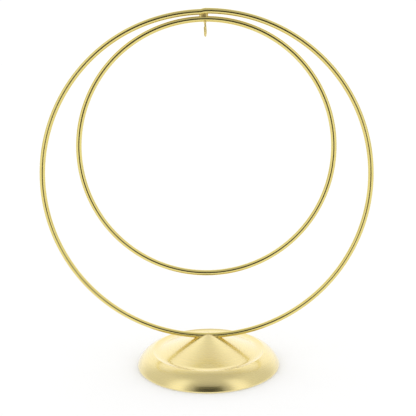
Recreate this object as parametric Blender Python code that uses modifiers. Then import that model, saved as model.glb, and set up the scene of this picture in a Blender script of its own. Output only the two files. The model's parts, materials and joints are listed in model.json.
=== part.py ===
"""Wreath frame: two nested rod hoops standing on a weighted, spun sheet base.

Metres, with +Z up.  The origin is the middle of the flat face that the base rests on.
The hoops stand in the XZ plane, and the small ornament hook opens towards -Y, the front.
"""

from math import acos, asin, cos, degrees, pi, radians, sin, tan

import bmesh
import bpy
from mathutils import Vector

# Clearance left between pieces that touch
FIT_GAP = 0.0003

# Hoops: round rod, rolled to a circle
ROD_DIAMETER = 0.005
OUTER_HOOP_DIAMETER = 0.300
INNER_HOOP_DIAMETER = 0.2322
HOOP_SPACING = 0.0018
JOINT_STEP = 0.0008
JOINT_BLEND = radians(40)

# Lug brazed between the two hoops at the top
LUG_LENGTH = 0.0076
LUG_DEPTH = 0.0042
LUG_OVERLAP = 0.0006
LUG_OFFSET = -0.0011
LUG_ROUNDING = 0.0007

# Ornament hook: thin wire bent to a J, its shank set in a hole under the inner hoop
HOOK_WIRE_DIAMETER = 0.0018
HOOK_BEND_RADIUS = 0.004
HOOK_DROP = 0.0127
HOOK_TIP_RISE = 0.0086
HOOK_SOCKET_DEPTH = 0.0015

# Base shell: sheet spun over a former
SHEET_THICKNESS = 0.0008
BASE_DIAMETER = 0.133
HEM_RADIUS = 0.0012
HEM_HEIGHT = 0.0028
RIM_TILT = radians(68)
DOME_RADIUS = 0.022
LIP_INSET = 0.0139
LIP_RADIUS = 0.0013
LIP_SLOPE = radians(25)
VALLEY_RADIUS = 0.010
CONE_ANGLE = radians(20)

# Hoop foot: turned plug under the cone's tip, grooved for the rod and tapped for the screw
FOOT_HEAD_DIAMETER = 0.028
FOOT_HEAD_EDGE = 0.0018
FOOT_STEM_DIAMETER = 0.018
FOOT_CHAMFER = 0.0006

# Ballast disc: fills the underside, clamped up against the shell's valley
BALLAST_RIM_GAP = 0.0005
BALLAST_DOME_GAP = 0.0010
BALLAST_BOSS_DIAMETER = 0.024
BALLAST_BOSS_RISE = 0.0015
BALLAST_WEB = 0.0045
BALLAST_POCKET_DIAMETER = 0.015
BALLAST_CHAMFER = 0.0006

# Screw, washers and felt
SCREW_DIAMETER = 0.005
SCREW_HEAD_DIAMETER = 0.0095
SCREW_HEAD_HEIGHT = 0.003
SCREW_TIP_WALL = 0.0023
RECESS_SPAN = 0.005
RECESS_WIDTH = 0.0011
RECESS_DEPTH = 0.0017
FLAT_WASHER_DIAMETER = 0.010
FLAT_WASHER_THICKNESS = 0.001
LOCK_WASHER_DIAMETER = 0.0092
LOCK_WASHER_THICKNESS = 0.0012
LOCK_WASHER_SPLIT = 0.0011
FELT_THICKNESS = 0.0015
FELT_EDGE_INSET = 0.0005
FELT_HOLE_DIAMETER = 0.020

# Facets
HOOP_POINTS = 96
ROD_RESOLUTION = 4
HOOK_RESOLUTION = 3
SHELL_STEPS = 60
TURNED_STEPS = 48
SMALL_STEPS = 32

# Worked out from the sizes above
ROD_RADIUS = ROD_DIAMETER / 2
BASE_RADIUS = BASE_DIAMETER / 2
HOOK_WIRE_RADIUS = HOOK_WIRE_DIAMETER / 2


def facing(tilt):
    """Return the way that a surface faces in the XZ plane when it tilts outwards from level."""
    return Vector((sin(tilt), 0, cos(tilt)))


# The shell's outer surface, from the hem inwards: dome, lip, valley and cone
HEM_CENTER = Vector((BASE_RADIUS - HEM_RADIUS, 0, HEM_RADIUS))
DOME_CENTER = HEM_CENTER - (DOME_RADIUS - HEM_RADIUS) * facing(RIM_TILT)
LIP_TILT = asin((BASE_RADIUS - LIP_INSET - DOME_CENTER.x) / DOME_RADIUS)
LIP_CENTER = DOME_CENTER + (DOME_RADIUS - LIP_RADIUS) * facing(LIP_TILT)
VALLEY_CENTER = LIP_CENTER + (LIP_RADIUS + VALLEY_RADIUS) * facing(-LIP_SLOPE)
VALLEY_HEIGHT = VALLEY_CENTER.z - VALLEY_RADIUS
CONE_FOOT = VALLEY_CENTER - VALLEY_RADIUS * facing(CONE_ANGLE)
CONE_TIP_HEIGHT = CONE_FOOT.z + CONE_FOOT.x * tan(CONE_ANGLE)

# The rod lies in a notch across the cone's tip, its upper side flush with the tip
OUTER_HOOP_RADIUS = OUTER_HOOP_DIAMETER / 2 - ROD_RADIUS
INNER_HOOP_RADIUS = INNER_HOOP_DIAMETER / 2 - ROD_RADIUS
OUTER_HOOP_CENTER = CONE_TIP_HEIGHT - ROD_RADIUS + OUTER_HOOP_RADIUS
OUTER_HOOP_UNDERSIDE = OUTER_HOOP_CENTER + OUTER_HOOP_RADIUS - ROD_RADIUS
INNER_HOOP_TOP = OUTER_HOOP_UNDERSIDE - HOOP_SPACING
INNER_HOOP_CENTER = INNER_HOOP_TOP - ROD_RADIUS - INNER_HOOP_RADIUS
INNER_HOOP_UNDERSIDE = INNER_HOOP_TOP - ROD_DIAMETER

FELT_TOP = FELT_THICKNESS
BALLAST_BOTTOM = FELT_TOP + FIT_GAP
BALLAST_TOP = VALLEY_HEIGHT - SHEET_THICKNESS - FIT_GAP
BALLAST_RADIUS = BASE_RADIUS - 2 * HEM_RADIUS - BALLAST_RIM_GAP
BALLAST_DOME_RADIUS = DOME_RADIUS - SHEET_THICKNESS - BALLAST_DOME_GAP
BALLAST_BOSS_TOP = BALLAST_TOP + BALLAST_BOSS_RISE
WEB_BOTTOM = BALLAST_BOSS_TOP - BALLAST_WEB
FOOT_BOTTOM = BALLAST_BOSS_TOP + FIT_GAP
FLAT_WASHER_BOTTOM = WEB_BOTTOM - FIT_GAP - FLAT_WASHER_THICKNESS
LOCK_WASHER_BOTTOM = FLAT_WASHER_BOTTOM - FIT_GAP - LOCK_WASHER_THICKNESS
SCREW_SEAT = LOCK_WASHER_BOTTOM - FIT_GAP
SCREW_HOLE_RADIUS = SCREW_DIAMETER / 2 + FIT_GAP
SCREW_TIP = CONE_TIP_HEIGHT - ROD_DIAMETER - SCREW_TIP_WALL


def start_clean():
    """Remove every object, so that the file holds only the frame."""
    for thing in list(bpy.data.objects):
        bpy.data.objects.remove(thing, do_unlink=True)


def new_collection(name):
    """Return a new collection linked to the scene."""
    group = bpy.data.collections.new(name)
    bpy.context.scene.collection.children.link(group)
    return group


def make_material(name, color, roughness, metallic):
    """Return a Principled material; the colour is linear RGB."""
    material = bpy.data.materials.new(name)
    material.use_nodes = True
    shader = material.node_tree.nodes["Principled BSDF"]
    shader.inputs["Base Color"].default_value = (*color, 1)
    shader.inputs["Roughness"].default_value = roughness
    shader.inputs["Metallic"].default_value = metallic
    return material


def add_object(name, data, group, material=None):
    """Link a new object to its collection and give it its material."""
    thing = bpy.data.objects.new(name, data)
    group.objects.link(thing)
    if material:
        data.materials.append(material)
    return thing


def shade(thing):
    """Shade a round piece smooth, with its edges kept sharp."""
    thing.data.shade_smooth()
    thing.data.set_sharp_from_angle(angle=radians(35))


def arc(center, radius, start, end, steps):
    """Return points along an arc in the XZ plane, with angles in degrees from +X."""
    turns = [radians(start + (end - start) * i / steps) for i in range(steps + 1)]
    return [center + radius * Vector((cos(turn), 0, sin(turn))) for turn in turns]


def wire(name, points, radius, resolution, group, material, cyclic=False):
    """Return a round wire along points, as a curve object with filled caps."""
    curve = bpy.data.curves.new(name, "CURVE")
    curve.dimensions = "3D"
    curve.bevel_depth = radius
    curve.bevel_resolution = resolution
    curve.use_fill_caps = True
    spline = curve.splines.new("POLY")
    spline.points.add(len(points) - 1)
    for knot, place in zip(spline.points, points):
        knot.co = (*place, 1)
    spline.use_cyclic_u = cyclic
    spline.use_smooth = True
    return add_object(name, curve, group, material)


def curve_to_mesh(thing):
    """Replace a curve object by the same shape as a mesh with its caps welded."""
    name = thing.name
    group = thing.users_collection[0]
    placed = thing.matrix_world.copy()
    evaluated = thing.evaluated_get(bpy.context.evaluated_depsgraph_get())
    mesh = bpy.data.meshes.new_from_object(evaluated)
    solid = bmesh.new()
    solid.from_mesh(mesh)
    bmesh.ops.remove_doubles(solid, verts=solid.verts, dist=0.00001)
    bmesh.ops.recalc_face_normals(solid, faces=solid.faces)
    solid.to_mesh(mesh)
    solid.free()
    bpy.data.objects.remove(thing, do_unlink=True)
    piece = add_object(name, mesh, group)
    piece.matrix_world = placed
    return piece


def turned(name, profile, steps, group, material, closed=False):
    """Return a turned piece: a profile in the XZ plane, at +X, spun round the Z axis."""
    mesh = bpy.data.meshes.new(name)
    edges = [(i, i + 1) for i in range(len(profile) - 1)]
    if closed:
        edges.append((len(profile) - 1, 0))
    mesh.from_pydata([tuple(point) for point in profile], edges, [])
    piece = add_object(name, mesh, group, material)
    screw = piece.modifiers.new("turn", "SCREW")
    screw.axis = "Z"
    screw.angle = 2 * pi
    screw.steps = steps
    screw.render_steps = steps
    screw.use_merge_vertices = True
    screw.merge_threshold = 0.00001
    screw.use_smooth_shade = True
    return piece


def cut(piece, cutter):
    """Take a cutter's shape out of a piece, with an exact Boolean."""
    boolean = piece.modifiers.new("cut " + cutter.name, "BOOLEAN")
    boolean.operation = "DIFFERENCE"
    boolean.solver = "EXACT"
    boolean.object = cutter


def as_cutter(thing):
    """Hide a cutter from renders and show it as a wire."""
    thing.hide_render = True
    thing.display_type = "WIRE"
    return thing


def box(name, size, center, group, material=None):
    """Return a rectangular block, made from a primitive."""
    mesh = bpy.data.meshes.new(name)
    solid = bmesh.new()
    bmesh.ops.create_cube(solid, size=1)
    bmesh.ops.scale(solid, vec=size, verts=solid.verts)
    solid.to_mesh(mesh)
    solid.free()
    piece = add_object(name, mesh, group, material)
    piece.location = center
    return piece


def smooth(share):
    """Ease a share from 0 to 1 with level ends."""
    share = min(max(share, 0), 1)
    return share * share * (3 - 2 * share)


def hoop_points(center_height, radius, step=0.0):
    """Return a hoop's centre line, clockwise from the top, as a closed ring.

    The rod's two ends are welded at the top.  The end that comes in from the left is low
    by step there, and eases into the circle over JOINT_BLEND.
    """
    places = []
    for i in range(HOOP_POINTS):
        turn = 2 * pi * i / HOOP_POINTS
        left = 2 * pi - turn
        reach = radius - step * smooth(1 - left / JOINT_BLEND)
        places.append(Vector((reach * sin(turn), 0, center_height + reach * cos(turn))))
    return places


def outer_line():
    """Return the outer hoop's centre line."""
    return hoop_points(OUTER_HOOP_CENTER, OUTER_HOOP_RADIUS, JOINT_STEP)


def inner_line():
    """Return the inner hoop's centre line."""
    return hoop_points(INNER_HOOP_CENTER, INNER_HOOP_RADIUS)


def shell_profile():
    """Return the shell's outer surface, from the cone's tip to the hem's inner edge."""
    cone, slope, lip, rim = (degrees(t) for t in (CONE_ANGLE, LIP_SLOPE, LIP_TILT, RIM_TILT))
    profile = [Vector((0, 0, CONE_TIP_HEIGHT))]
    profile += arc(VALLEY_CENTER, VALLEY_RADIUS, 270 - cone, 270 + slope, 6)
    profile += arc(LIP_CENTER, LIP_RADIUS, 90 + slope, 90 - lip, 4)[1:]
    profile += arc(DOME_CENTER, DOME_RADIUS, 90 - lip, 90 - rim, 8)[1:]
    profile += arc(HEM_CENTER, HEM_RADIUS, 90 - rim, -180, 5)[1:]
    profile.append(Vector((BASE_RADIUS - 2 * HEM_RADIUS, 0, HEM_HEIGHT)))
    return profile


def build_hoops(parts, cutters, material):
    """Build both hoops, and drill the inner one for the hook's shank."""
    wire("outer_hoop", outer_line(), ROD_RADIUS, ROD_RESOLUTION, parts, material, cyclic=True)
    ring = wire("inner_hoop", inner_line(), ROD_RADIUS, ROD_RESOLUTION, parts, material, cyclic=True)
    inner = curve_to_mesh(ring)
    socket_depth = HOOK_SOCKET_DEPTH + FIT_GAP
    bottom = INNER_HOOP_UNDERSIDE - ROD_RADIUS
    ends = [Vector((0, 0, bottom)), Vector((0, 0, INNER_HOOP_UNDERSIDE + socket_depth))]
    drill = wire("hook_socket", ends, HOOK_WIRE_RADIUS + FIT_GAP, ROD_RESOLUTION, cutters, None)
    cut(inner, as_cutter(curve_to_mesh(drill)))
    shade(inner)


def rod_cutter(name, line, group):
    """Return a cutter along a hoop's centre line, a clearance wider than the rod."""
    ring = wire(name, line, ROD_RADIUS + FIT_GAP, ROD_RESOLUTION, group, None, cyclic=True)
    return as_cutter(curve_to_mesh(ring))


def build_lug(parts, outer_cutter, inner_cutter, material):
    """Build the lug that joins the hoops, hollowed to sit between the two rods."""
    height = HOOP_SPACING + 2 * LUG_OVERLAP
    center = (LUG_OFFSET, 0, INNER_HOOP_TOP + HOOP_SPACING / 2)
    lug = box("hoop_lug", (LUG_LENGTH, LUG_DEPTH, height), center, parts, material)
    rounding = lug.modifiers.new("rounding", "BEVEL")
    rounding.width = LUG_ROUNDING
    rounding.segments = 2
    cut(lug, outer_cutter)
    cut(lug, inner_cutter)


def build_hook(parts, material):
    """Build the J-shaped ornament hook, its shank's end inside the inner hoop."""
    top = INNER_HOOP_UNDERSIDE + HOOK_SOCKET_DEPTH
    lowest = INNER_HOOP_UNDERSIDE - HOOK_DROP
    bend_center = Vector((0, -HOOK_BEND_RADIUS, lowest + HOOK_WIRE_RADIUS + HOOK_BEND_RADIUS))
    line = [Vector((0, 0, top))]
    steps = 12
    for i in range(steps + 1):
        turn = pi * i / steps
        line.append(bend_center + HOOK_BEND_RADIUS * Vector((0, cos(turn), -sin(turn))))
    line.append(Vector((0, -2 * HOOK_BEND_RADIUS, lowest + HOOK_TIP_RISE)))
    wire("ornament_hook", line, HOOK_WIRE_RADIUS, HOOK_RESOLUTION, parts, material)


def build_shell(parts, outer_cutter, material):
    """Build the spun base shell, notched across its tip for the rod."""
    shell = turned("base_shell", shell_profile(), SHELL_STEPS, parts, material)
    sheet = shell.modifiers.new("sheet", "SOLIDIFY")
    sheet.thickness = SHEET_THICKNESS
    sheet.offset = -1
    sheet.use_even_offset = True
    cut(shell, outer_cutter)


def build_foot(parts, outer_cutter, material):
    """Build the plug that carries the hoop and takes the screw."""
    sheet_rise = (SHEET_THICKNESS + FIT_GAP) / cos(CONE_ANGLE)
    tip = CONE_TIP_HEIGHT - sheet_rise
    head = FOOT_HEAD_DIAMETER / 2
    stem = FOOT_STEM_DIAMETER / 2
    head_top = tip - head * tan(CONE_ANGLE)
    head_bottom = head_top - FOOT_HEAD_EDGE
    profile = [
        Vector((0, 0, tip)),
        Vector((head, 0, head_top)),
        Vector((head, 0, head_bottom)),
        Vector((stem, 0, head_bottom - (head - stem) / 2)),
        Vector((stem, 0, FOOT_BOTTOM + FOOT_CHAMFER)),
        Vector((stem - FOOT_CHAMFER, 0, FOOT_BOTTOM)),
        Vector((SCREW_HOLE_RADIUS, 0, FOOT_BOTTOM)),
        Vector((SCREW_HOLE_RADIUS, 0, SCREW_TIP + FIT_GAP)),
        Vector((0, 0, SCREW_TIP + FIT_GAP)),
    ]
    foot = turned("hoop_foot", profile, TURNED_STEPS, parts, material)
    cut(foot, outer_cutter)


def build_ballast(parts, material):
    """Build the ballast disc, its shoulder following the shell's dome.

    It has a boss under the foot and a pocket for the screw's head.
    """
    boss = BALLAST_BOSS_DIAMETER / 2
    pocket = BALLAST_POCKET_DIAMETER / 2
    high = 90 - degrees(acos((BALLAST_TOP - DOME_CENTER.z) / BALLAST_DOME_RADIUS))
    low = 90 - degrees(asin((BALLAST_RADIUS - DOME_CENTER.x) / BALLAST_DOME_RADIUS))
    shoulder = arc(DOME_CENTER, BALLAST_DOME_RADIUS, high, low, 6)
    profile = [
        Vector((SCREW_HOLE_RADIUS, 0, BALLAST_BOSS_TOP)),
        Vector((boss - BALLAST_CHAMFER, 0, BALLAST_BOSS_TOP)),
        Vector((boss, 0, BALLAST_BOSS_TOP - BALLAST_CHAMFER)),
        Vector((boss, 0, BALLAST_TOP)),
        *shoulder,
        Vector((BALLAST_RADIUS, 0, BALLAST_BOTTOM + BALLAST_CHAMFER)),
        Vector((BALLAST_RADIUS - BALLAST_CHAMFER, 0, BALLAST_BOTTOM)),
        Vector((pocket, 0, BALLAST_BOTTOM)),
        Vector((pocket, 0, WEB_BOTTOM)),
        Vector((SCREW_HOLE_RADIUS, 0, WEB_BOTTOM)),
    ]
    turned("ballast_disc", profile, TURNED_STEPS, parts, material, closed=True)


def build_screw(parts, cutters, material):
    """Build the pan-head screw that clamps the base together, with its cross recess."""
    shank = SCREW_DIAMETER / 2
    head = SCREW_HEAD_DIAMETER / 2
    head_bottom = SCREW_SEAT - SCREW_HEAD_HEIGHT
    crown = 0.35 * SCREW_HEAD_HEIGHT
    profile = [
        Vector((0, 0, SCREW_TIP)),
        Vector((0.7 * shank, 0, SCREW_TIP)),
        Vector((shank, 0, SCREW_TIP - 0.3 * shank)),
        Vector((shank, 0, SCREW_SEAT)),
        Vector((head, 0, SCREW_SEAT)),
        Vector((head, 0, head_bottom + crown)),
        Vector((0.85 * head, 0, head_bottom + 0.25 * crown)),
        Vector((0.55 * head, 0, head_bottom)),
        Vector((0, 0, head_bottom)),
    ]
    screw = turned("base_screw", profile, SMALL_STEPS, parts, material)
    depth = 2 * RECESS_DEPTH
    for name, size in (
        ("recess_across", (RECESS_SPAN, RECESS_WIDTH, depth)),
        ("recess_along", (RECESS_WIDTH, RECESS_SPAN, depth)),
    ):
        cut(screw, as_cutter(box(name, size, (0, 0, head_bottom), cutters)))


def build_washers(parts, cutters, material):
    """Build the flat washer and the split lock washer under the screw's head."""
    washers = (
        ("flat_washer", FLAT_WASHER_DIAMETER, FLAT_WASHER_BOTTOM, FLAT_WASHER_THICKNESS),
        ("lock_washer", LOCK_WASHER_DIAMETER, LOCK_WASHER_BOTTOM, LOCK_WASHER_THICKNESS),
    )
    for name, diameter, bottom, thickness in washers:
        profile = [
            Vector((SCREW_HOLE_RADIUS, 0, bottom + thickness)),
            Vector((diameter / 2, 0, bottom + thickness)),
            Vector((diameter / 2, 0, bottom)),
            Vector((SCREW_HOLE_RADIUS, 0, bottom)),
        ]
        ring = turned(name, profile, SMALL_STEPS, parts, material, closed=True)
    size = (LOCK_WASHER_DIAMETER / 2, LOCK_WASHER_SPLIT, 2 * LOCK_WASHER_THICKNESS)
    place = (LOCK_WASHER_DIAMETER / 2, 0, LOCK_WASHER_BOTTOM + LOCK_WASHER_THICKNESS / 2)
    cut(ring, as_cutter(box("washer_split", size, place, cutters)))


def build_felt(parts, material):
    """Build the felt pad under the ballast, with a hole that leaves the screw in reach."""
    outer = BALLAST_RADIUS - FELT_EDGE_INSET
    hole = FELT_HOLE_DIAMETER / 2
    profile = [
        Vector((hole, 0, FELT_TOP)),
        Vector((outer, 0, FELT_TOP)),
        Vector((outer, 0, 0)),
        Vector((hole, 0, 0)),
    ]
    turned("felt_pad", profile, TURNED_STEPS, parts, material, closed=True)


def main():
    """Build the whole frame."""
    start_clean()
    parts = new_collection("wreath_frame")
    cutters = new_collection("cutters")

    gold_rod = make_material("gold_rod", (0.87, 0.66, 0.24), 0.16, 1)
    gold_sheet = make_material("gold_sheet", (0.87, 0.68, 0.30), 0.30, 1)
    plain_steel = make_material("plain_steel", (0.55, 0.55, 0.56), 0.35, 1)
    cast_iron = make_material("cast_iron", (0.06, 0.06, 0.065), 0.75, 0.6)
    felt = make_material("felt", (0.02, 0.02, 0.022), 0.95, 0)

    outer_cutter = rod_cutter("outer_rod_space", outer_line(), cutters)
    inner_cutter = rod_cutter("inner_rod_space", inner_line(), cutters)

    build_hoops(parts, cutters, gold_rod)
    build_lug(parts, outer_cutter, inner_cutter, gold_rod)
    build_hook(parts, gold_rod)
    build_shell(parts, outer_cutter, gold_sheet)
    build_foot(parts, outer_cutter, plain_steel)
    build_ballast(parts, cast_iron)
    build_screw(parts, cutters, plain_steel)
    build_washers(parts, cutters, plain_steel)
    build_felt(parts, felt)


main()
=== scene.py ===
"""Looks of the wreath frame: polished gold hoops standing on a spun satin base.

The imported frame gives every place.  This script dresses it with finer meshes of the same
sizes, the braze and weld that join them, and procedural finishes, and sets a plain studio
round it.  Metres, with +Z up; the front, where the ornament hook opens, faces -Y.
"""

from __future__ import annotations

import json
import logging
import math
from dataclasses import dataclass, field
from enum import Enum
from typing import Sequence

import bmesh
import bpy
from mathutils import Matrix, Vector, noise

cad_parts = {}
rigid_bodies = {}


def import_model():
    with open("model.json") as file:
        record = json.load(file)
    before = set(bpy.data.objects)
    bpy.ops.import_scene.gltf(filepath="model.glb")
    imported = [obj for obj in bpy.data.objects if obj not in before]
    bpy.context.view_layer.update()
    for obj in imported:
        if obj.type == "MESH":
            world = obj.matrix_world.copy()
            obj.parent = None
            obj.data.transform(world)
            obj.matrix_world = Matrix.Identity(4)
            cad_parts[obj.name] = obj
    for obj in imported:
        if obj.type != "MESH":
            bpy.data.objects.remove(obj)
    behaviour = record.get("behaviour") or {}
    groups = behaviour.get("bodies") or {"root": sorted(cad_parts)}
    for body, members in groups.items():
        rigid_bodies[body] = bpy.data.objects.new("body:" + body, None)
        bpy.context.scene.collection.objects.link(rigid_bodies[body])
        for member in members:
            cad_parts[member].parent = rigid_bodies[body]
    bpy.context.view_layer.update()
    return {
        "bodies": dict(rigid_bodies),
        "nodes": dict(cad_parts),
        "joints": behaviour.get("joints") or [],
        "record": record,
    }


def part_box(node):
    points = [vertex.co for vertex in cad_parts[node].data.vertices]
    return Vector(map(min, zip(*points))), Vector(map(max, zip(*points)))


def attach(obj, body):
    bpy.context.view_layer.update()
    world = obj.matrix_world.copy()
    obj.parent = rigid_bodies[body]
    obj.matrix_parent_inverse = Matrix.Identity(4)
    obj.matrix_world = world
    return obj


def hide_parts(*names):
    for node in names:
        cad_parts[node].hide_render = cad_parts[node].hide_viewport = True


LOG = logging.getLogger("wreath_frame")
BODY = "root"
MM = 0.001

Color = tuple[float, float, float]


class Slot(Enum):
    """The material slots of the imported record."""

    GOLD_ROD = "gold_rod"
    GOLD_SHEET = "gold_sheet"
    PLAIN_STEEL = "plain_steel"
    CAST_IRON = "cast_iron"
    FELT = "felt"


# ---------------------------------------------------------------------------
# Shader maths
# ---------------------------------------------------------------------------


class Signal:
    """An output socket that takes part in Python arithmetic, adding Math nodes as it goes."""

    def __init__(self, graph: "Graph", socket: bpy.types.NodeSocket) -> None:
        """Wrap a socket of a graph."""
        self.graph = graph
        self.socket = socket

    def _math(self, operation: str, *values: "Signal | float") -> "Signal":
        """Add a Math node.

        Args:
            operation: the Math node's operation.
            values: its inputs, in order.

        Returns:
            The node's result.
        """
        return self.graph.node("ShaderNodeMath", {"operation": operation}, dict(enumerate(values)))

    def __add__(self, other: "Signal | float") -> "Signal":
        """Return self + other."""
        return self._math("ADD", self, other)

    def __radd__(self, other: float) -> "Signal":
        """Return other + self."""
        return self._math("ADD", other, self)

    def __sub__(self, other: "Signal | float") -> "Signal":
        """Return self - other."""
        return self._math("SUBTRACT", self, other)

    def __rsub__(self, other: float) -> "Signal":
        """Return other - self."""
        return self._math("SUBTRACT", other, self)

    def __mul__(self, other: "Signal | float") -> "Signal":
        """Return self * other."""
        return self._math("MULTIPLY", self, other)

    def __rmul__(self, other: float) -> "Signal":
        """Return other * self."""
        return self._math("MULTIPLY", other, self)

    def __truediv__(self, other: "Signal | float") -> "Signal":
        """Return self / other."""
        return self._math("DIVIDE", self, other)

    def __pow__(self, power: float) -> "Signal":
        """Return self raised to a power."""
        return self._math("POWER", self, power)

    def __abs__(self) -> "Signal":
        """Return the size of self without its sign."""
        return self._math("ABSOLUTE", self)

    def hypot(self, other: "Signal") -> "Signal":
        """Return the length of the two sides self and other."""
        return (self * self + other * other) ** 0.5

    def angle(self, other: "Signal") -> "Signal":
        """Return the angle whose tangent is self / other."""
        return self._math("ARCTAN2", self, other)

    def sine(self) -> "Signal":
        """Return the sine of self."""
        return self._math("SINE", self)

    def ramp(self, low: float, high: float, start: float = 0.0, end: float = 1.0) -> "Signal":
        """Ease smoothly from start to end as self goes from low to high."""
        settings = {"interpolation_type": "SMOOTHSTEP"}
        sockets = {0: self, 1: low, 2: high, 3: start, 4: end}
        return self.graph.node("ShaderNodeMapRange", settings, sockets)


class Graph:
    """The node tree of a material or of the world."""

    def __init__(self, tree: bpy.types.NodeTree) -> None:
        """Take over a node tree and clear it."""
        self.tree = tree
        tree.nodes.clear()

    def node(
        self,
        kind: str,
        settings: dict[str, object] | None = None,
        sockets: dict[int | str, object] | None = None,
        output: int | str = 0,
    ) -> Signal:
        """Add any node.

        Args:
            kind: the node's type name.
            settings: the node's own settings, set first; "stops" fills a colour ramp.
            sockets: the value or Signal of each input, by name or by number.
            output: the output that is wanted.

        Returns:
            The wanted output.
        """
        made = self.tree.nodes.new(kind)
        for key, value in (settings or {}).items():
            if key == "stops":
                self._fill_ramp(made.color_ramp, value)
            else:
                setattr(made, key, value)
        for key, value in (sockets or {}).items():
            if isinstance(value, Signal):
                self.tree.links.new(value.socket, made.inputs[key])
            elif value is not None:
                made.inputs[key].default_value = value
        return Signal(self, made.outputs[output]) if made.outputs else Signal(self, None)

    @staticmethod
    def _fill_ramp(ramp: bpy.types.ColorRamp, stops: Sequence[tuple[float, Color]]) -> None:
        """Give a colour ramp its stops."""
        while len(ramp.elements) < len(stops):
            ramp.elements.new(1.0)
        for element, (place, color) in zip(ramp.elements, stops):
            element.position = place
            element.color = (*color, 1.0)

    def axes(self) -> tuple[Signal, Signal, Signal]:
        """Return the surface point's x, y and z in the object's own metres."""
        place = self.node("ShaderNodeTexCoord", output="Object")
        return self.split(place)

    def split(self, vector: Signal) -> tuple[Signal, Signal, Signal]:
        """Return a vector's three numbers."""
        first = self.node("ShaderNodeSeparateXYZ", sockets={0: vector})
        outputs = first.socket.node.outputs
        return first, Signal(self, outputs[1]), Signal(self, outputs[2])

    def vector(self, x: Signal | float, y: Signal | float, z: Signal | float) -> Signal:
        """Return a vector made of three numbers."""
        return self.node("ShaderNodeCombineXYZ", sockets={0: x, 1: y, 2: z})

    def grain(
        self, place: Signal, scale: float, detail: float = 2.0, distortion: float = 0.0
    ) -> Signal:
        """Return fractal noise, about 0 to 1, at a place."""
        sockets = {"Vector": place, "Scale": scale, "Detail": detail, "Distortion": distortion}
        return self.node("ShaderNodeTexNoise", sockets=sockets)

    def blend(self, share: Signal | float, first: Color | Signal, second: Color | Signal) -> Signal:
        """Mix two colours by a share from 0 to 1."""
        colors = [c if isinstance(c, Signal) else (*c, 1.0) for c in (first, second)]
        settings = {"data_type": "RGBA"}
        return self.node("ShaderNodeMix", settings, {0: share, 6: colors[0], 7: colors[1]}, output=2)

    def bump(self, height: Signal, depth: float, strength: float = 1.0) -> Signal:
        """Return a normal bent by a height from 0 to 1, which stands for depth metres."""
        sockets = {"Height": height, "Distance": depth, "Strength": strength}
        return self.node("ShaderNodeBump", sockets=sockets)


@dataclass(frozen=True)
class Finish:
    """A surface finish; each kind of finish paints its own node tree."""

    name: str
    color: Color
    roughness: float
    metallic: float = 1.0

    def build(self) -> bpy.types.Material:
        """Return this finish as a material."""
        material = bpy.data.materials.new(self.name)
        material.use_nodes = True
        graph = Graph(material.node_tree)
        shader = graph.node("ShaderNodeBsdfPrincipled", sockets=self.paint(graph))
        graph.node("ShaderNodeOutputMaterial", sockets={"Surface": shader})
        return material

    def paint(self, graph: Graph) -> dict[int | str, object]:
        """Return what each input of the Principled shader gets.

        Args:
            graph: the tree to add texture nodes to.

        Returns:
            Values or Signals by the names of the shader's inputs.
        """
        return {"Base Color": (*self.color, 1.0), "Roughness": self.roughness, "Metallic": self.metallic}


@dataclass(frozen=True)
class DrawnGold(Finish):
    """Gold-plated drawn rod: near a mirror, with faint lines along its length."""

    ring_radius: float = 0.1475
    ring_height: float = 0.175
    shade: Color = (0.80, 0.66, 0.23)
    line_depth: float = 2.0e-6
    line_scale: float = 4000.0
    line_stretch: float = 6.0
    cloud_scale: float = 60.0
    patch_scale: float = 420.0

    def paint(self, graph: Graph) -> dict[int | str, object]:
        """Return the shader's inputs: fine lines round the hoop, and slow changes of tone."""
        x, y, z = graph.axes()
        across = x.hypot(z - self.ring_height) - self.ring_radius
        turn = x.angle(z - self.ring_height)
        along = graph.vector(across * self.line_scale, y * self.line_scale, turn * self.line_stretch)
        lines = graph.grain(along, 1.0, detail=3.0)
        place = graph.vector(x, y, z)
        cloud = graph.grain(place, self.cloud_scale, detail=2.0)
        patches = graph.grain(place, self.patch_scale, detail=3.0)
        tone = cloud.ramp(0.35, 0.70) * 0.6 + lines * 0.25
        return {
            "Base Color": graph.blend(tone, self.color, self.shade),
            "Metallic": self.metallic,
            "Roughness": patches.ramp(0.3, 0.75, self.roughness, self.roughness + 0.06) + lines * 0.03,
            "Normal": graph.bump(lines * 0.7 + patches * 0.3, self.line_depth),
        }


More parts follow.
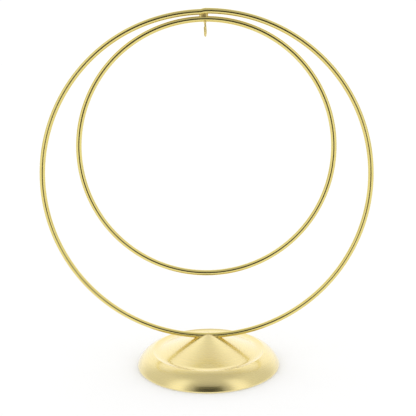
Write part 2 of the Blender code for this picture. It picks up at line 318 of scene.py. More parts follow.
@dataclass(frozen=True)
class SpunGold(Finish):
    """Gold-plated sheet: satin, with rings left by spinning and grit at the brazed tip."""

    grit_reach: float = 0.011
    shade: Color = (0.84, 0.68, 0.28)
    ring_depth: float = 3.0e-6
    grit_depth: float = 60e-6
    ring_scale: float = 2600.0
    ring_stretch: float = 0.8
    cloud_scale: float = 38.0
    grit_scale: float = 1500.0
    coat: float = 1.0
    coat_roughness: float = 0.15
    coat_index: float = 1.85

    def paint(self, graph: Graph) -> dict[int | str, object]:
        """Return the shader's inputs: rings about the axis, soft clouds, and a gritty tip."""
        x, y, z = graph.axes()
        reach = x.hypot(y)
        turn = x.angle(y)
        along = graph.vector(reach * self.ring_scale, z * self.ring_scale, abs(turn) * self.ring_stretch)
        rings = graph.grain(along, 1.0, detail=3.0)
        place = graph.vector(x, y, z)
        cloud = graph.grain(place, self.cloud_scale, detail=2.0)
        grit = graph.grain(place, self.grit_scale, detail=4.0)
        pits = grit.ramp(0.56, 0.68)
        near_tip = reach.ramp(0.25 * self.grit_reach, self.grit_reach, 1.0, 0.0)
        tone = cloud.ramp(0.3, 0.7) * 0.5 + rings * 0.3 + pits * near_tip * 0.5
        gritty = grit * near_tip * (self.grit_depth / self.ring_depth)
        return {
            "Base Color": graph.blend(tone, self.color, self.shade),
            "Metallic": self.metallic,
            "Roughness": rings.ramp(0.3, 0.7, self.roughness - 0.03, self.roughness + 0.05) + near_tip * 0.10,
            "Coat Weight": self.coat,
            "Coat Roughness": self.coat_roughness,
            "Coat IOR": self.coat_index,
            "Normal": graph.bump(rings * (1.0 - near_tip) + gritty, self.ring_depth),
        }


@dataclass(frozen=True)
class BrazedGold(Finish):
    """Plated filler metal: lumpy and duller than the rod, with painted shade in the hollows of its lumps."""

    # The colour of the painted shade laid into the lumps' hollows.
    shade: Color = (0.45, 0.28, 0.08)
    lump_depth: float = 90e-6
    lump_scale: float = 900.0

    def paint(self, graph: Graph) -> dict[int | str, object]:
        """Return the shader's inputs: lumps, with painted shade darkening the colour in their hollows."""
        place = graph.vector(*graph.axes())
        lumps = graph.grain(place, self.lump_scale, detail=3.0, distortion=0.4)
        # Painted shade: the hollows between the lumps darken the base colour towards the shade colour.
        hollow = lumps.ramp(0.38, 0.60, 1.0, 0.0)
        return {
            "Base Color": graph.blend(hollow * 0.6, self.color, self.shade),
            "Metallic": self.metallic,
            "Roughness": hollow.ramp(0.0, 1.0, self.roughness, self.roughness + 0.2),
            "Normal": graph.bump(lumps, self.lump_depth),
        }


@dataclass(frozen=True)
class SandCastIron(Finish):
    """Cast iron as it leaves the sand: dark, pitted and matt, with a little rust."""

    rust: Color = (0.16, 0.075, 0.035)
    sand_depth: float = 180e-6
    sand_scale: float = 1400.0
    blotch_scale: float = 90.0

    def paint(self, graph: Graph) -> dict[int | str, object]:
        """Return the shader's inputs: sand grain and specks of rust."""
        place = graph.vector(*graph.axes())
        sand = graph.grain(place, self.sand_scale, detail=4.0)
        blotch = graph.grain(place, self.blotch_scale, detail=4.0)
        rusty = blotch.ramp(0.56, 0.72)
        return {
            "Base Color": graph.blend(rusty * 0.7, self.color, self.rust),
            "Metallic": 0.6 - rusty * 0.5,
            "Roughness": sand.ramp(0.3, 0.7, self.roughness - 0.1, self.roughness + 0.1),
            "Normal": graph.bump(sand, self.sand_depth),
        }


@dataclass(frozen=True)
class TurnedSteel(Finish):
    """Zinc-plated turned steel, with fine tool rings about the axis."""

    tool_pitch: float = 0.00018
    tool_depth: float = 6e-6
    bloom: Color = (0.42, 0.43, 0.45)
    bloom_scale: float = 500.0

    def paint(self, graph: Graph) -> dict[int | str, object]:
        """Return the shader's inputs: tool rings and a faint bloom on the zinc."""
        x, y, z = graph.axes()
        groove = ((x.hypot(y) + z) * (2.0 * math.pi / self.tool_pitch)).sine()
        bloom = graph.grain(graph.vector(x, y, z), self.bloom_scale, detail=3.0)
        return {
            "Base Color": graph.blend(bloom, self.color, self.bloom),
            "Metallic": self.metallic,
            "Roughness": bloom.ramp(0.3, 0.7, self.roughness - 0.06, self.roughness + 0.1),
            "Normal": graph.bump(groove * 0.5 + 0.5, self.tool_depth),
        }


@dataclass(frozen=True)
class WoolFelt(Finish):
    """Pressed wool felt: a mat of fibres with no shine but a soft sheen."""

    lint: Color = (0.055, 0.055, 0.06)
    nap_depth: float = 250e-6
    across_scale: float = 2200.0
    along_scale: float = 700.0
    depth_scale: float = 1500.0
    curl: float = 1.5

    def paint(self, graph: Graph) -> dict[int | str, object]:
        """Return the shader's inputs: crossed fibres, lint and a constant sheen."""
        x, y, z = graph.axes()
        lengthwise = graph.vector(x * self.across_scale, y * self.along_scale, z * self.depth_scale)
        crosswise = graph.vector(x * self.along_scale, y * self.across_scale, z * self.depth_scale)
        fibres = graph.grain(lengthwise, 1.0, detail=4.0, distortion=self.curl)
        crossed = graph.grain(crosswise, 1.0, detail=4.0, distortion=self.curl)
        nap = fibres * 0.5 + crossed * 0.5
        return {
            "Base Color": graph.blend(nap.ramp(0.45, 0.62), self.color, self.lint),
            "Metallic": 0.0,
            "Roughness": self.roughness,
            "Sheen Weight": 0.4,
            "Sheen Roughness": 0.5,
            "Normal": graph.bump(nap, self.nap_depth),
        }


# ---------------------------------------------------------------------------
# Meshes
# ---------------------------------------------------------------------------


def ease(share: float) -> float:
    """Ease a share from 0 to 1 with level ends."""
    share = min(max(share, 0.0), 1.0)
    return share * share * (3.0 - 2.0 * share)


def arc(center: Vector, radius: float, start: float, end: float, steps: int) -> list[Vector]:
    """Return points along an arc in the XZ plane.

    Args:
        center: the arc's centre.
        radius: its radius.
        start: the first point's angle from +X, in degrees.
        end: the last point's angle.
        steps: how many pieces the arc is cut into.

    Returns:
        steps + 1 points.
    """
    turns = [math.radians(start + (end - start) * i / steps) for i in range(steps + 1)]
    return [center + radius * Vector((math.cos(turn), 0.0, math.sin(turn))) for turn in turns]


def facing(tilt: float) -> Vector:
    """Return the way that a surface faces in the XZ plane when it tilts outwards from level."""
    return Vector((math.sin(tilt), 0.0, math.cos(tilt)))


def loft(rings: Sequence[Sequence[Vector]], closed: bool, caps: bool) -> bmesh.types.BMesh:
    """Return a skin over rings of points.

    Args:
        rings: the rings, each with the same number of points, in order.
        closed: whether the last ring joins the first.
        caps: whether the two end rings are filled.

    Returns:
        The new mesh, which the caller frees.
    """
    skin = bmesh.new()
    rows = [[skin.verts.new(point) for point in ring] for ring in rings]
    count = len(rows[0])
    pairs = list(zip(rows, rows[1:]))
    if closed:
        pairs.append((rows[-1], rows[0]))
    for low, high in pairs:
        for i in range(count):
            j = (i + 1) % count
            skin.faces.new((low[i], low[j], high[j], high[i]))
    if caps:
        skin.faces.new(list(reversed(rows[0])))
        skin.faces.new(rows[-1])
    bmesh.ops.recalc_face_normals(skin, faces=skin.faces)
    return skin


def tube(line: Sequence[Vector], radii: Sequence[float], sides: int, closed: bool) -> bmesh.types.BMesh:
    """Return a round tube along a line, its section turned as little as possible.

    Args:
        line: the centre line.
        radii: the tube's radius at each point.
        sides: the facets round it.
        closed: whether the line is a closed loop that lies in the XZ plane.

    Returns:
        The new mesh.
    """
    count = len(line)
    side = Vector((0.0, 1.0, 0.0)) if closed else Vector((1.0, 0.0, 0.0))
    rings = []
    for i, (point, radius) in enumerate(zip(line, radii)):
        before = line[(i - 1) % count] if closed or i else line[0]
        after = line[(i + 1) % count] if closed or i < count - 1 else line[-1]
        ahead = (after - before).normalized()
        side = (side - side.dot(ahead) * ahead).normalized()
        third = ahead.cross(side)
        turns = [2.0 * math.pi * k / sides for k in range(sides)]
        rings.append([point + radius * (math.cos(t) * side + math.sin(t) * third) for t in turns])
    return loft(rings, closed, caps=not closed)


def lathe(profile: Sequence[Vector], segments: int) -> bmesh.types.BMesh:
    """Return a closed profile in the XZ plane, spun round the Z axis.

    Args:
        profile: the outline's points, all on one side of the axis.
        segments: how many facets go round.

    Returns:
        The new mesh.
    """
    rings = []
    for k in range(segments):
        spin = Matrix.Rotation(2.0 * math.pi * k / segments, 3, "Z")
        rings.append([spin @ point for point in profile])
    return loft(rings, closed=True, caps=False)


def thicken(line: Sequence[Vector], thickness: float) -> list[Vector]:
    """Return a closed outline: a line in the XZ plane, and the same line inside it.

    The inside lies to the right of the line's way, and the outline's two ends are square.

    Args:
        line: the outer line, from one end to the other.
        thickness: the distance between the two lines.

    Returns:
        The outline's points, out along the line and back inside it.
    """
    inside = []
    for i, point in enumerate(line):
        before, after = line[max(i - 1, 0)], line[min(i + 1, len(line) - 1)]
        first = (point - before).normalized() if i else (after - point).normalized()
        second = (after - point).normalized() if i < len(line) - 1 else first
        ahead = (first + second).normalized()
        normal = Vector((-ahead.z, 0.0, ahead.x))
        stretch = max(ahead.dot(first), 0.5)
        inside.append(point - normal * (thickness / stretch))
    return list(line) + list(reversed(inside))


@dataclass
class Workshop:
    """Makes objects of meshes, dresses them, and puts them on the frame."""

    materials: dict[str, bpy.types.Material] = field(default_factory=dict)
    made: int = 0

    def material(self, finish: Finish) -> bpy.types.Material:
        """Return a finish's material, built once."""
        if finish.name not in self.materials:
            self.materials[finish.name] = finish.build()
        return self.materials[finish.name]

    def piece(
        self,
        name: str,
        skin: bmesh.types.BMesh,
        finish: Finish,
        slot: Slot,
        stands_for: Sequence[str] = (),
        crease: float = 35.0,
    ) -> bpy.types.Object:
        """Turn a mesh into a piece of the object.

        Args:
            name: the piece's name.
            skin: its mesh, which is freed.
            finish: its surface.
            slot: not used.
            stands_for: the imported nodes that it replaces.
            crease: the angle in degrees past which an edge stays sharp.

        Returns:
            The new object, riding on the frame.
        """
        thing = self.mesh_object(name, skin)
        thing.data.materials.append(self.material(finish))
        thing.data.shade_smooth()
        thing.data.set_sharp_from_angle(angle=math.radians(crease))
        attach(thing, BODY)
        if stands_for:
            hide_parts(*stands_for)
        self.made += 1
        LOG.info("%s: %d faces", name, len(thing.data.polygons))
        return thing

    @staticmethod
    def mesh_object(name: str, skin: bmesh.types.BMesh) -> bpy.types.Object:
        """Return a new object with a mesh, and free the mesh's editing copy."""
        mesh = bpy.data.meshes.new(name)
        skin.to_mesh(mesh)
        skin.free()
        thing = bpy.data.objects.new(name, mesh)
        bpy.context.scene.collection.objects.link(thing)
        return thing

    def carve(self, name: str, body: bmesh.types.BMesh, cutter: bmesh.types.BMesh) -> bmesh.types.BMesh:
        """Take one mesh out of another with an exact Boolean.

        Args:
            name: the start of the two helper objects' names.
            body: the mesh to cut, which is freed.
            cutter: the mesh to cut with, which is freed.

        Returns:
            The new mesh.
        """
        solid = self.mesh_object(name + "_blank", body)
        tool = self.mesh_object(name + "_cutter", cutter)
        cut = solid.modifiers.new("cut", "BOOLEAN")
        cut.operation = "DIFFERENCE"
        cut.solver = "EXACT"
        cut.object = tool
        evaluated = solid.evaluated_get(bpy.context.evaluated_depsgraph_get())
        result = bmesh.new()
        result.from_mesh(evaluated.to_mesh())
        evaluated.to_mesh_clear()
        for thing in (solid, tool):
            bpy.data.objects.remove(thing, do_unlink=True)
        return result

    def redress(self, frame: dict, node: str, finish: Finish, slot: Slot) -> None:
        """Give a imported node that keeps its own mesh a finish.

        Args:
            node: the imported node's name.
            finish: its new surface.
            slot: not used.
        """
        mesh = frame["nodes"][node].data
        mesh.materials.clear()
        mesh.materials.append(self.material(finish))
        LOG.info("%s: kept, %s", node, finish.name)


# ---------------------------------------------------------------------------
# The object's sub-assemblies
# ---------------------------------------------------------------------------


@dataclass
class Hoop:
    """A rod rolled to a circle in the XZ plane and welded at its top."""

    node: str
    stations: int = 480
    sides: int = 28
    weld_step: float = 0.0
    weld_blend: float = math.radians(40)
    weld_start: float = -4.2 * MM
    weld_end: float = 0.4 * MM
    weld_swell: float = 0.0
    weld_reach: float = 3.0 * MM

    def __post_init__(self) -> None:
        """Read the rod's and the ring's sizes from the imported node."""
        low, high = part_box(self.node)
        self.rod = (high.y - low.y) / 2
        self.radius = (high.x - low.x) / 2 - self.rod
        self.bottom = low.z
        self.center = low.z + self.rod + self.radius

    def reach(self, turn: float) -> float:
        """Return the centre line's distance from the middle at an angle clockwise from the top."""
        left = 2.0 * math.pi - turn if turn > math.pi else 0.0
        length = -left * self.radius
        if left:
            rise = ease((length - self.weld_start) / (self.weld_end - self.weld_start))
            low = ease(1.0 - left / self.weld_blend) * (1.0 - rise)
        else:
            low = 1.0 - ease((turn * self.radius - self.weld_start) / (self.weld_end - self.weld_start))
        return self.radius - self.weld_step * low - self.swell(turn)

    def swell(self, turn: float) -> float:
        """Return how much thicker the dressed weld leaves the rod at an angle."""
        away = min(turn, 2.0 * math.pi - turn) * self.radius
        return self.weld_swell * ease(1.0 - away / self.weld_reach)

    def thickness(self, turn: float) -> float:
        """Return the rod's radius at an angle, its outer side kept flush at the weld."""
        return self.rod + self.swell(turn)

    def turns(self) -> list[float]:
        """Return the stations' angles, closest together at the weld."""
        near = self.stations // 6
        close = 8.0 * MM / self.radius
        fine = [close * (2.0 * i / near - 1.0) for i in range(near)]
        rest = self.stations - near
        wide = [close + (2.0 * math.pi - 2.0 * close) * i / rest for i in range(rest)]
        return [turn % (2.0 * math.pi) for turn in fine + wide]

    def line(self) -> list[Vector]:
        """Return the centre line."""
        return [self.point(turn) for turn in self.turns()]

    def point(self, turn: float) -> Vector:
        """Return the centre line's point at an angle clockwise from the top."""
        reach = self.reach(turn)
        return Vector((reach * math.sin(turn), 0.0, self.center + reach * math.cos(turn)))

    def height_at(self, x: float, top: bool) -> float:
        """Return the height of the centre line above or below the middle, at an x."""
        turn = math.asin(x / self.radius)
        turn = turn % (2.0 * math.pi) if top else math.pi - turn
        return self.point(turn).z

    def skin(self, clearance: float = 0.0) -> bmesh.types.BMesh:
        """Return the rod's mesh, or one a clearance larger to cut with."""
        radii = [self.thickness(turn) + clearance for turn in self.turns()]
        return tube(self.line(), radii, self.sides, closed=True)

    def finish(self, name: str) -> DrawnGold:
        """Return the rod's finish, its lines following this hoop."""
        return DrawnGold(name, (0.83, 0.71, 0.265), 0.10, ring_radius=self.radius, ring_height=self.center)


@dataclass
class HoopPair:
    """Both hoops, and the lug brazed between them at the top."""

    shop: Workshop
    outer: Hoop
    inner: Hoop
    lug_stations: int = 40
    lug_sides: int = 10
    lug_bite: float = 0.25 * MM
    lug_shoulder: float = 0.62
    # The braze's default shade colour is painted shade in the hollows of its lumps.
    braze_finish: BrazedGold = BrazedGold("lug_braze", (0.80, 0.66, 0.26), 0.30, lump_depth=30e-6)

    def build(self) -> None:
        """Make the two rods and the lug."""
        for hoop in (self.outer, self.inner):
            name = hoop.node.replace("hoop", "rod")
            self.shop.piece(name, hoop.skin(), hoop.finish(name), Slot.GOLD_ROD, (hoop.node,))
        self.shop.piece("lug_braze", self.lug(), self.braze_finish, Slot.GOLD_ROD, ("hoop_lug",))

    def lug(self) -> bmesh.types.BMesh:
        """Return the lug: a short bar that hugs both rods, its ends run out by the braze."""
        low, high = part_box("hoop_lug")
        middle, half = (low.x + high.x) / 2, (high.x - low.x) / 2
        depth = (high.y - low.y) / 2
        rings = []
        for i in range(self.lug_stations + 1):
            share = -math.cos(math.pi * i / self.lug_stations)
            x = middle + half * share
            width = depth * max(1.0 - abs(share) ** 3, 0.02) ** 0.5
            rings.append(self.lug_section(x, width))
        return loft(rings, closed=False, caps=True)

    def lug_section(self, x: float, width: float) -> list[Vector]:
        """Return the lug's outline at an x: both rods' curves, closed by a bulging side."""
        over = self.outer.height_at(x, top=True)
        under = self.inner.height_at(x, top=True)
        upper, lower = [], []
        for k in range(self.lug_sides + 1):
            y = width * (2.0 * k / self.lug_sides - 1.0)
            inset = y * self.lug_shoulder
            upper.append(Vector((x, inset, over - self.curve(self.outer.rod, inset) + self.lug_bite)))
            lower.append(Vector((x, -y, under + self.curve(self.inner.rod, y) - self.lug_bite)))
        return upper + self.bulge(upper[-1], lower[0]) + lower + self.bulge(lower[-1], upper[0])

    @staticmethod
    def curve(rod: float, y: float) -> float:
        """Return how far a rod's surface is above its centre line, off the middle by y."""
        return math.sqrt(max(rod * rod - y * y, 0.0))

    @staticmethod
    def bulge(start: Vector, end: Vector, steps: int = 5, fullness: float = 0.05) -> list[Vector]:
        """Return points between two corners that bow outwards, along Y."""
        away = math.copysign(1.0, start.y + end.y)
        swell = fullness * (end - start).length
        points = []
        for k in range(1, steps):
            share = k / steps
            point = start.lerp(end, share)
            point.y += away * swell * math.sin(math.pi * share)
            points.append(point)
        return points


@dataclass
class OrnamentHook:
    """The J of thin wire under the inner hoop, with the braze round its root."""

    shop: Workshop
    hoop: Hoop
    sides: int = 20
    lean: float = 0.5 * MM
    bite: float = 0.8 * MM
    leg: float = 8.6 * MM
    collar_drop: float = 1.3 * MM
    collar_flare: float = 1.1 * MM
    # The shade colour here is painted shade in the hollows of the braze's lumps.
    finish: BrazedGold = BrazedGold(
        "hook_wire", (0.84, 0.70, 0.28), 0.20, shade=(0.60, 0.46, 0.18), lump_depth=6e-6
    )

    def build(self) -> None:
        """Make the wire and its collar of braze."""
        low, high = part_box("ornament_hook")
        wire = (high.x - low.x) / 2
        root = self.hoop.center + self.hoop.radius - self.hoop.rod
        line = self.route(wire, low, root)
        radii = [wire] * len(line)
        tip = line[-1]
        ahead = (line[-1] - line[-2]).normalized()
        for k in range(1, 7):
            turn = 0.5 * math.pi * k / 6
            line.append(tip + ahead * wire * 0.8 * math.sin(turn))
            radii.append(wire * max(math.cos(turn), 0.04))
        skin = tube(line, radii, self.sides, closed=False)
        self.shop.piece("hook_wire", skin, self.finish, Slot.GOLD_ROD, ("ornament_hook",))
        self.shop.piece("hook_collar", self.collar(wire, root), self.finish, Slot.GOLD_ROD)

    def route(self, wire: float, low: Vector, root: float) -> list[Vector]:
        """Return the wire's centre line, from inside the hoop to short of its rounded tip."""
        bend = (-low.y - wire) / 2
        bottom = low.z + wire
        line = [Vector((0.0, 0.0, root + self.bite * (1.0 - k / 3))) for k in range(3)]
        shank = root - bottom - bend
        steps = 16
        for k in range(steps):
            share = k / steps
            line.append(Vector((self.lean * ease(share), 0.0, root - shank * share)))
        for k in range(25):
            turn = math.pi * k / 24
            x = self.lean * (1.0 - 1.4 * ease(k / 24))
            line.append(Vector((x, -bend + bend * math.cos(turn), bottom + bend - bend * math.sin(turn))))
        tip = low.z + self.leg - 0.8 * wire
        for k in range(1, 7):
            height = bottom + bend + (tip - bottom - bend) * k / 6
            line.append(Vector((line[-1].x - 0.02 * MM, -2.0 * bend, height)))
        return line

    def collar(self, wire: float, root: float) -> bmesh.types.BMesh:
        """Return the hollow-sided cone of braze between the shank and the hoop."""
        outer = []
        for k in range(9):
            share = k / 8
            radius = wire * 1.02 + self.collar_flare * (1.0 - share) ** 2.2
            rise = self.hoop.rod - math.sqrt(max(self.hoop.rod ** 2 - radius ** 2, 0.0))
            outer.append(Vector((radius, 0.0, root + rise * (1.0 - share) - self.collar_drop * share)))
        inside = [Vector((wire * 0.6, 0.0, outer[-1].z)), Vector((wire * 0.6, 0.0, root + 0.5 * MM))]
        top = [Vector((outer[0].x, 0.0, root + 0.5 * MM))]
        return lathe(top + outer + inside, 40)


@dataclass
class SpunBase:
    """The spun shell, notched for the rod at its tip, and the braze that holds the rod."""

    shop: Workshop
    hoop: Hoop
    sheet: float = 0.8 * MM
    hem: float = 1.2 * MM
    hem_height: float = 2.8 * MM
    rim_tilt: float = math.radians(68)
    dome: float = 22.0 * MM
    lip_inset: float = 13.9 * MM
    lip: float = 1.3 * MM
    lip_slope: float = math.radians(25)
    valley: float = 10.0 * MM
    slope: float = math.radians(20)
    segments: int = 224
    notch_gap: float = 0.03 * MM
    braze_radius: float = 0.42 * MM
    braze_reach: float = 10.6 * MM
    braze_steps: int = 90
    braze_sides: int = 12
    braze_sink: float = 0.12 * MM
    braze_drop: float = 0.10 * MM
    braze_wander: float = 0.05 * MM
    tip_cut: float = 0.3 * MM

    def build(self) -> None:
        """Make the shell and the braze."""
        self.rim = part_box("base_shell")[1].x
        self.tip = self.hoop.bottom + 2.0 * self.hoop.rod
        finish = SpunGold("base_sheet", (0.88, 0.735, 0.295), 0.27)
        blank = lathe(thicken(self.outline(), self.sheet), self.segments)
        shell = self.shop.carve("base_sheet", blank, self.hoop.skin(self.notch_gap))
        self.shop.piece("base_sheet", shell, finish, Slot.GOLD_SHEET, ("base_shell",), crease=40.0)
        # The braze's default shade colour is painted shade in the hollows of its lumps.
        braze = BrazedGold("tip_braze", (0.90, 0.72, 0.33), 0.30)
        for side, name in ((-1.0, "front_braze"), (1.0, "back_braze")):
            self.shop.piece(name, self.fillet(side), braze, Slot.GOLD_SHEET)

    def outline(self) -> list[Vector]:
        """Return the shell's outside from near its tip to the inner edge of its hem."""
        hem = Vector((self.rim - self.hem, 0.0, self.hem))
        dome = hem - (self.dome - self.hem) * facing(self.rim_tilt)
        lip_tilt = math.asin((self.rim - self.lip_inset - dome.x) / self.dome)
        lip = dome + (self.dome - self.lip) * facing(lip_tilt)
        valley = lip + (self.lip + self.valley) * facing(-self.lip_slope)
        foot = valley - self.valley * facing(self.slope)
        angles = (self.slope, self.lip_slope, lip_tilt, self.rim_tilt)
        cone, flank, top, rim = (math.degrees(angle) for angle in angles)
        start = Vector((self.tip_cut, 0.0, self.tip - self.tip_cut * math.tan(self.slope)))
        line = [start.lerp(foot, k / 24) for k in range(24)]
        line += arc(valley, self.valley, 270.0 - cone, 270.0 + flank, 18)
        line += arc(lip, self.lip, 90.0 + flank, 90.0 - top, 12)[1:]
        line += arc(dome, self.dome, 90.0 - top, 90.0 - rim, 28)[1:]
        line += arc(hem, self.hem, 90.0 - rim, -180.0, 16)[1:]
        line.append(Vector((self.rim - 2.0 * self.hem, 0.0, self.hem_height)))
        return line

    def seam(self, side: float, x: float) -> Vector:
        """Return where the cone's surface meets the rod at an x, in front or behind."""
        center = self.hoop.height_at(x, top=False)
        low, high = 0.0, self.hoop.rod
        for _ in range(40):
            y = (low + high) / 2
            cone = self.tip - math.tan(self.slope) * math.hypot(x, y)
            inside = y * y + (cone - center) ** 2 < self.hoop.rod ** 2
            low, high = (y, high) if inside else (low, y)
        return Vector((x, side * low, self.tip - math.tan(self.slope) * math.hypot(x, low)))

    def fillet(self, side: float) -> bmesh.types.BMesh:
        """Return an uneven bead of filler along the rod, on one side of it."""
        line, radii = [], []
        for i in range(self.braze_steps + 1):
            share = 2.0 * i / self.braze_steps - 1.0
            x = self.braze_reach * share
            seam = self.seam(side, x)
            wander = noise.noise(Vector((x * 700.0, side * 5.0, 0.0)))
            sink = Vector((0.0, -side * self.braze_sink, -self.braze_drop))
            line.append(seam + sink + Vector((0.0, side * self.braze_wander * wander, 0.0)))
            radii.append(self.braze_radius * (0.25 + 0.75 * (1.0 - abs(share) ** 4)) * (1.0 + 0.25 * wander))
        return tube(line, radii, self.braze_sides, closed=False)


@dataclass
class BaseFastening:
    """What lies under the shell: the hoop's foot, the ballast, the screw and its washers."""

    shop: Workshop
    frame: dict
    iron: SandCastIron = SandCastIron("sand_cast_iron", (0.06, 0.06, 0.065), 0.72, 0.6)
    steel: TurnedSteel = TurnedSteel("turned_steel", (0.60, 0.60, 0.61), 0.28)
    steel_nodes: tuple[str, ...] = ("hoop_foot", "base_screw", "flat_washer", "lock_washer")

    def build(self) -> None:
        """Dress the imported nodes, which keep their meshes."""
        self.shop.redress(self.frame, "ballast_disc", self.iron, Slot.CAST_IRON)
        for node in self.steel_nodes:
            self.shop.redress(self.frame, node, self.steel, Slot.PLAIN_STEEL)


@dataclass
class FeltPad:
    """The felt under the ballast, with a punched hole and soft edges."""

    shop: Workshop
    finish: WoolFelt = WoolFelt("wool_felt", (0.016, 0.016, 0.018), 0.95, 0.0)
    hole: float = 10.0 * MM
    rounding: float = 0.35 * MM
    fuzz: float = 0.12 * MM
    segments: int = 260

    def build(self) -> None:
        """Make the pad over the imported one."""
        low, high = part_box("felt_pad")
        edge = self.rounding
        corners = ((high.x - edge, high.z - edge, 90, 0), (high.x - edge, low.z + edge, 0, -90))
        inner = ((self.hole + edge, low.z + edge, 270, 180), (self.hole + edge, high.z - edge, 180, 90))
        profile = []
        for x, z, start, end in corners + inner:
            profile += arc(Vector((x, 0.0, z)), edge, start, end, 4)
            if start == 0:
                span = self.hole - high.x
                profile += [Vector((high.x + span * k / 12, 0.0, low.z)) for k in range(1, 12)]
        skin = lathe(profile, self.segments)
        for vertex in skin.verts:
            rough = noise.noise(vertex.co * 900.0)
            if vertex.co.z > low.z + 0.1 * MM:
                outwards = Vector((vertex.co.x, vertex.co.y, 0.0)).normalized()
                reach = vertex.co.xy.length
                near_edge = min(abs(reach - high.x), abs(reach - self.hole)) < 2 * edge
                vertex.co += outwards * (self.fuzz * (rough - 0.6) if near_edge else 0.0)
        self.shop.piece("felt_disc", skin, self.finish, Slot.FELT, ("felt_pad",), crease=60.0)


# ---------------------------------------------------------------------------
# Studio
# ---------------------------------------------------------------------------


@dataclass(frozen=True)
class Card:
    """A flat card that shows only as a reflection in the metal."""

    name: str
    place: tuple[float, float, float]
    size: tuple[float, float]
    glow: float


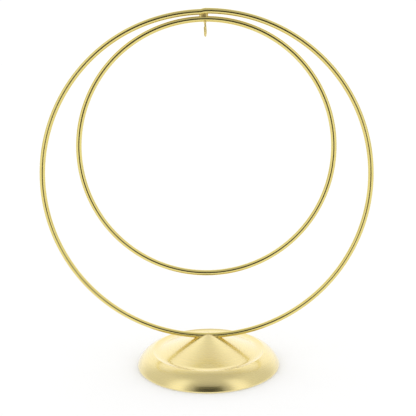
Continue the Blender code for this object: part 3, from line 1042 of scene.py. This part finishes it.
@dataclass
class Studio:
    """A white floor in a white tent, with the dark gap that the camera looks through."""

    shop: Workshop
    lens: float = 66.05
    distance: float = 0.67685
    height: float = 0.28883
    pitch: float = math.radians(11.641)
    roll: float = math.radians(-0.6)
    shift: float = 0.0024
    back: float = 1.15
    side: float = 0.75
    box: float = 1.25
    front: float = 0.52
    ceiling: float = 0.62
    backdrop: float = 1.05
    floor_glow: float = 1.0
    floor_gray: float = 0.9
    floor_reach: float = 20.0
    ceiling_start: float = math.radians(48)
    ceiling_full: float = math.radians(80)
    brightest: float = 4.0
    sun: float = 1.0
    sun_spread: float = math.radians(150)
    sensor: float = 36.0
    cards: tuple[Card, ...] = (
        Card("camera_gap", (0.0, -0.76, 0.33), (0.62, 0.66), 0.03),
    )

    def build(self) -> None:
        """Make the camera, the floor, the tent and the lights."""
        self.place_camera()
        self.lay_floor()
        self.hang_tent()
        self.light_floor()
        for card in self.cards:
            self.stand(card)

    def place_camera(self) -> None:
        """Place the camera in front of the object, a little above its middle."""
        data = bpy.data.cameras.new("camera")
        data.lens = self.lens
        data.sensor_width = self.sensor
        data.shift_x = self.shift
        data.clip_start = 0.01
        camera = bpy.data.objects.new("camera", data)
        bpy.context.scene.collection.objects.link(camera)
        tilt = Matrix.Rotation(math.radians(90) - self.pitch, 4, "X")
        turn = Matrix.Rotation(self.roll, 4, "Z")
        camera.matrix_world = Matrix.Translation((0.0, -self.distance, self.height)) @ tilt @ turn
        bpy.context.scene.camera = camera
        bpy.context.scene.view_settings.view_transform = "Standard"

    def lay_floor(self) -> None:
        """Lay a wide white floor that metal sees as evenly lit paper."""
        skin = bmesh.new()
        bmesh.ops.create_grid(skin, x_segments=1, y_segments=1, size=self.floor_reach)
        floor = self.shop.mesh_object("floor", skin)
        material = bpy.data.materials.new("studio_floor")
        material.use_nodes = True
        graph = Graph(material.node_tree)
        gray = (self.floor_gray,) * 3
        paper = graph.node("ShaderNodeBsdfDiffuse", sockets={"Color": (*gray, 1.0)})
        glow = graph.node("ShaderNodeEmission", sockets={"Strength": self.floor_glow})
        seen_in_metal = graph.node("ShaderNodeLightPath", output="Is Glossy Ray")
        surface = graph.node("ShaderNodeMixShader", sockets={0: seen_in_metal, 1: paper, 2: glow})
        graph.node("ShaderNodeOutputMaterial", sockets={"Surface": surface})
        floor.data.materials.append(material)

    def hang_tent(self) -> None:
        """Light the world as a tent: soft boxes beside the camera, dim sides, a bright back."""
        world = bpy.data.worlds.new("tent")
        bpy.context.scene.world = world
        world.use_nodes = True
        graph = Graph(world.node_tree)
        x, y, z = graph.split(graph.node("ShaderNodeTexCoord", output="Generated"))
        turn = abs(x.angle(y * -1.0)) / math.pi
        stops = [(place, (level / self.brightest,) * 3) for place, level in self.levels()]
        around = graph.node("ShaderNodeValToRGB", {"stops": stops}, {0: turn}) * self.brightest
        overhead = z.ramp(math.sin(self.ceiling_start), math.sin(self.ceiling_full))
        tent = around + overhead * (self.ceiling - around)
        seen = graph.node("ShaderNodeLightPath", output="Is Camera Ray")
        strength = tent + seen * (self.backdrop - tent)
        sockets = {"Color": (1.0, 1.0, 1.0, 1.0), "Strength": strength}
        light = graph.node("ShaderNodeBackground", sockets=sockets)
        graph.node("ShaderNodeOutputWorld", sockets={"Surface": light})

    def levels(self) -> tuple[tuple[float, float], ...]:
        """Return the tent's brightness by the share of the way round from the camera to the back."""
        return (
            (0.0, self.front), (0.19, self.front), (0.24, self.box), (0.32, self.box),
            (0.40, self.side), (0.62, self.side), (0.78, self.back), (1.0, self.back),
        )

    def light_floor(self) -> None:
        """Light the floor evenly with a broad sky that polished metal doesn't mirror."""
        data = bpy.data.lights.new("overhead", "SUN")
        data.angle = self.sun_spread
        data.energy = self.sun
        lamp = bpy.data.objects.new("overhead", data)
        lamp.visible_glossy = False
        bpy.context.scene.collection.objects.link(lamp)

    def stand(self, card: Card) -> None:
        """Stand a card on edge, facing the object."""
        skin = bmesh.new()
        bmesh.ops.create_grid(skin, x_segments=1, y_segments=1, size=0.5)
        bmesh.ops.scale(skin, vec=(*card.size, 1.0), verts=skin.verts)
        thing = self.shop.mesh_object(card.name, skin)
        turn = Matrix.Rotation(math.atan2(card.place[0], -card.place[1]), 4, "Z")
        thing.matrix_world = Matrix.Translation(card.place) @ turn @ Matrix.Rotation(math.radians(90), 4, "X")
        material = bpy.data.materials.new(card.name)
        material.use_nodes = True
        graph = Graph(material.node_tree)
        light = graph.node("ShaderNodeEmission", sockets={"Strength": card.glow})
        graph.node("ShaderNodeOutputMaterial", sockets={"Surface": light})
        thing.data.materials.append(material)
        for ray in ("camera", "diffuse", "transmission", "shadow"):
            setattr(thing, "visible_" + ray, False)


def main() -> None:
    """Build every sub-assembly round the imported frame, then the studio."""
    logging.basicConfig(level=logging.INFO, format="%(name)s %(message)s")
    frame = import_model()
    shop = Workshop()
    outer = Hoop("outer_hoop", weld_step=0.8 * MM, weld_swell=0.10 * MM)
    inner = Hoop("inner_hoop")
    assemblies = (
        HoopPair(shop, outer, inner),
        OrnamentHook(shop, inner),
        SpunBase(shop, outer),
        BaseFastening(shop, frame),
        FeltPad(shop),
        Studio(shop),
    )
    for assembly in assemblies:
        assembly.build()
    LOG.info("%d pieces made", shop.made)


if __name__ == "__main__":
    main()
